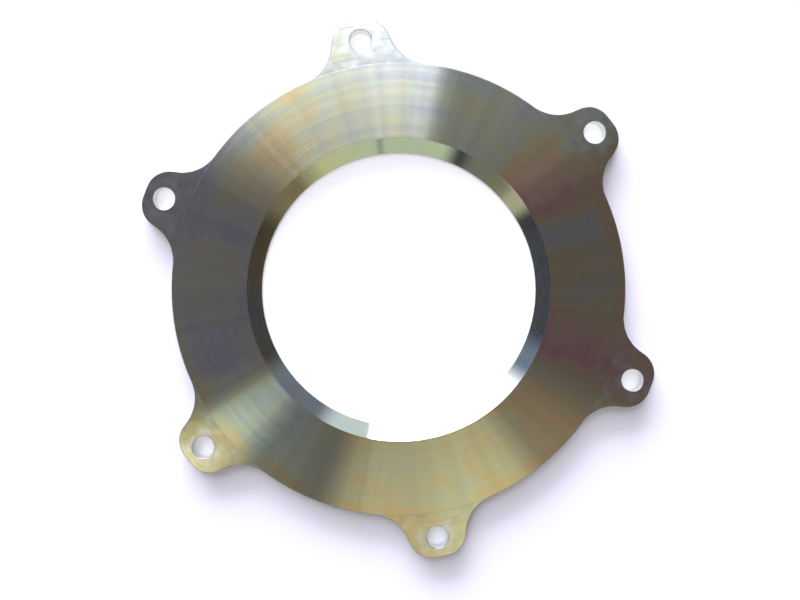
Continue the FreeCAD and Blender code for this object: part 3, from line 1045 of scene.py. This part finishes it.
# Each card is placed by its direction in the picture: from and to in degrees round the table,
# with how softly those edges fade, then the same above the table, its colour and its strength.
CARDS = {
    "window_low": ((77.9, 132), (0.6, 34), (7, 28), (5, 8), "#ebe8ff", 19.5),
    "window_high": ((77.9, 132), (0.6, 34), (28, 54), (8, 8), "#ebe8ff", 2.8),
    "window_top": ((77.9, 134), (0.6, 34), (54, 70), (8, 6), "#ebe9fb", 5.2),
    "window_head": ((77.9, 100), (0.6, 24), (66, 75), (6, 4), "#ebe9fb", 0.9),
    "left_card": ((214, 226), (0.6, 9), (22, 71), (8, 7), "#f6fffc", 2.9),
    "left_card_edge": ((222, 246), (8, 16), (22, 76), (8, 8), "#f6fffc", 0.22),
    "front_card": ((254, 307), (10, 12), (36, 78), (8, 8), "#fff7d9", 0.64),
    "front_card_middle": ((280, 303), (2, 8), (36, 78), (8, 8), "#fff7d9", 0.28),
    "front_card_start": ((262, 274), (8, 2), (36, 78), (8, 8), "#fff7d9", 0.1),
    "front_card_edge": ((303, 328), (8, 14), (36, 78), (8, 8), "#fff2d9", 0.22),
    "right_wall": ((44, 77.9), (34, 0.6), (25, 80), (8, 8), "#fbfcff", 0.24),
    "left_wall": ((140, 213), (12, 2), (25, 80), (8, 8), "#ffe9f2", 0.068),
    "front_left_low": ((249.5, 277.5), (8, 3.5), (3, 24), (3, 8), "#f5fff0", 0.72),
    "front_right_low": ((278.5, 308), (3.5, 14), (3, 24), (3, 8), "#f5fff0", 0.72),
    "front_edge_low": ((308, 330), (6, 12), (3, 24), (3, 8), "#fffbef", 0.18),
    "left_low": ((212, 222), (6, 5), (3, 24), (3, 8), "#fffbef", 0.45),
    "left_edge_low": ((222, 243), (5, 8), (3, 24), (3, 8), "#fffbef", 0.18),
    "right_low_far": ((31, 62), (10, 8), (3, 24), (3, 8), "#c4ccf4", 0.32),
    "right_low_near": ((60, 77.9), (10, 0.6), (3, 24), (3, 8), "#d4dcf6", 1.3),
    "window_side_low": ((143, 158), (8, 12), (3, 24), (3, 8), "#adc3ff", 0.45),
    "under_the_table": ((-160, 240), (1, 1), (-90, -6), (1, 4), "#f2f0fa", 0.8),
    "left_wall_low": ((156, 204), (10, 16), (3, 24), (3, 8), "#a9bcff", 0.045),
}
SWEEP_HEIGHT = 2

world = bpy.data.worlds.new("studio")
bpy.context.scene.world = world
world.use_nodes = True
sky = world.node_tree
sky.nodes.clear()
direction = add_node(sky, "ShaderNodeTexCoord").outputs["Generated"]
direction = add_node(
    sky,
    "ShaderNodeVectorRotate",
    {"Vector": direction, "Angle": math.radians(-PICTURE_TURN)},
    rotation_type="Z_AXIS",
).outputs[0]
along = add_node(sky, "ShaderNodeSeparateXYZ", {0: direction}).outputs
azimuth = add_node(
    sky, "ShaderNodeMath", {0: along["Y"], 1: along["X"]}, operation="ARCTAN2"
).outputs[0]
azimuth = add_node(sky, "ShaderNodeMath", {0: azimuth}, operation="DEGREES").outputs[0]
elevation = add_node(sky, "ShaderNodeMath", {0: along["Z"]}, operation="ARCSINE").outputs[0]
elevation = add_node(sky, "ShaderNodeMath", {0: elevation}, operation="DEGREES").outputs[0]


def between(value, limits, softness):
    """A share that is whole between two limits and fades softly past each of them."""
    share = 1.0
    for limit, reach in zip(limits, (softness[0] / 2, -softness[1] / 2)):
        step = add_node(
            sky,
            "ShaderNodeMapRange",
            {"Value": value, "From Min": limit - reach, "From Max": limit + reach},
            interpolation_type="SMOOTHSTEP",
        ).outputs[0]
        share = add_node(
            sky, "ShaderNodeMath", {0: share, 1: step}, operation="MULTIPLY"
        ).outputs[0]
    return share


above = add_node(
    sky,
    "ShaderNodeMapRange",
    {
        "Value": elevation,
        "From Min": ROOM_STEP[0] - ROOM_STEP[1] / 2,
        "From Max": ROOM_STEP[0] + ROOM_STEP[1] / 2,
        "To Min": ROOM_LOW,
        "To Max": ROOM_HIGH,
    },
    interpolation_type="SMOOTHSTEP",
).outputs[0]
light = add_node(
    sky,
    "ShaderNodeVectorMath",
    {0: linear(ROOM_COLOUR)[:3], "Scale": above},
    operation="SCALE",
).outputs[0]
for name, (round_limits, round_soft, up_limits, up_soft, colour, strength) in CARDS.items():
    middle, half = sum(round_limits) / 2, (round_limits[1] - round_limits[0]) / 2
    off = add_node(sky, "ShaderNodeMath", {0: azimuth, 1: middle}, operation="SUBTRACT").outputs[0]
    off = add_node(
        sky, "ShaderNodeMath", {0: off, 1: 180.0, 2: -180.0}, operation="WRAP"
    ).outputs[0]
    card = add_node(
        sky,
        "ShaderNodeMath",
        {0: between(off, (-half, half), round_soft), 1: between(elevation, up_limits, up_soft)},
        operation="MULTIPLY",
    ).outputs[0]
    light = add_node(
        sky,
        "ShaderNodeVectorMath",
        {0: [c * strength for c in linear(colour)[:3]], 1: card, 2: light},
        operation="MULTIPLY_ADD",
        label=name,
    ).outputs[0]

# A white sweep closes the room behind the table. The camera sees it all round, and the metal
# mirrors its low part.
seen_by = add_node(sky, "ShaderNodeLightPath").outputs
mirrored = add_node(
    sky,
    "ShaderNodeMath",
    {0: seen_by["Is Glossy Ray"], 1: seen_by["Is Transmission Ray"]},
    use_clamp=True,
).outputs[0]
low_down = add_node(
    sky,
    "ShaderNodeMapRange",
    {"Value": elevation, "From Min": SWEEP_HEIGHT, "From Max": 0.0},
    interpolation_type="SMOOTHSTEP",
).outputs[0]
sweep = add_node(
    sky,
    "ShaderNodeMath",
    {0: mirrored, 1: low_down, 2: seen_by["Is Camera Ray"]},
    operation="MULTIPLY_ADD",
    use_clamp=True,
).outputs[0]
room_light = add_node(sky, "ShaderNodeBackground", {"Color": light}).outputs[0]
white = add_node(sky, "ShaderNodeBackground", {"Color": (1, 1, 1, 1)}).outputs[0]
seen = add_node(sky, "ShaderNodeMixShader", {0: sweep, 1: room_light, 2: white}).outputs[0]
add_node(sky, "ShaderNodeOutputWorld", {"Surface": seen})
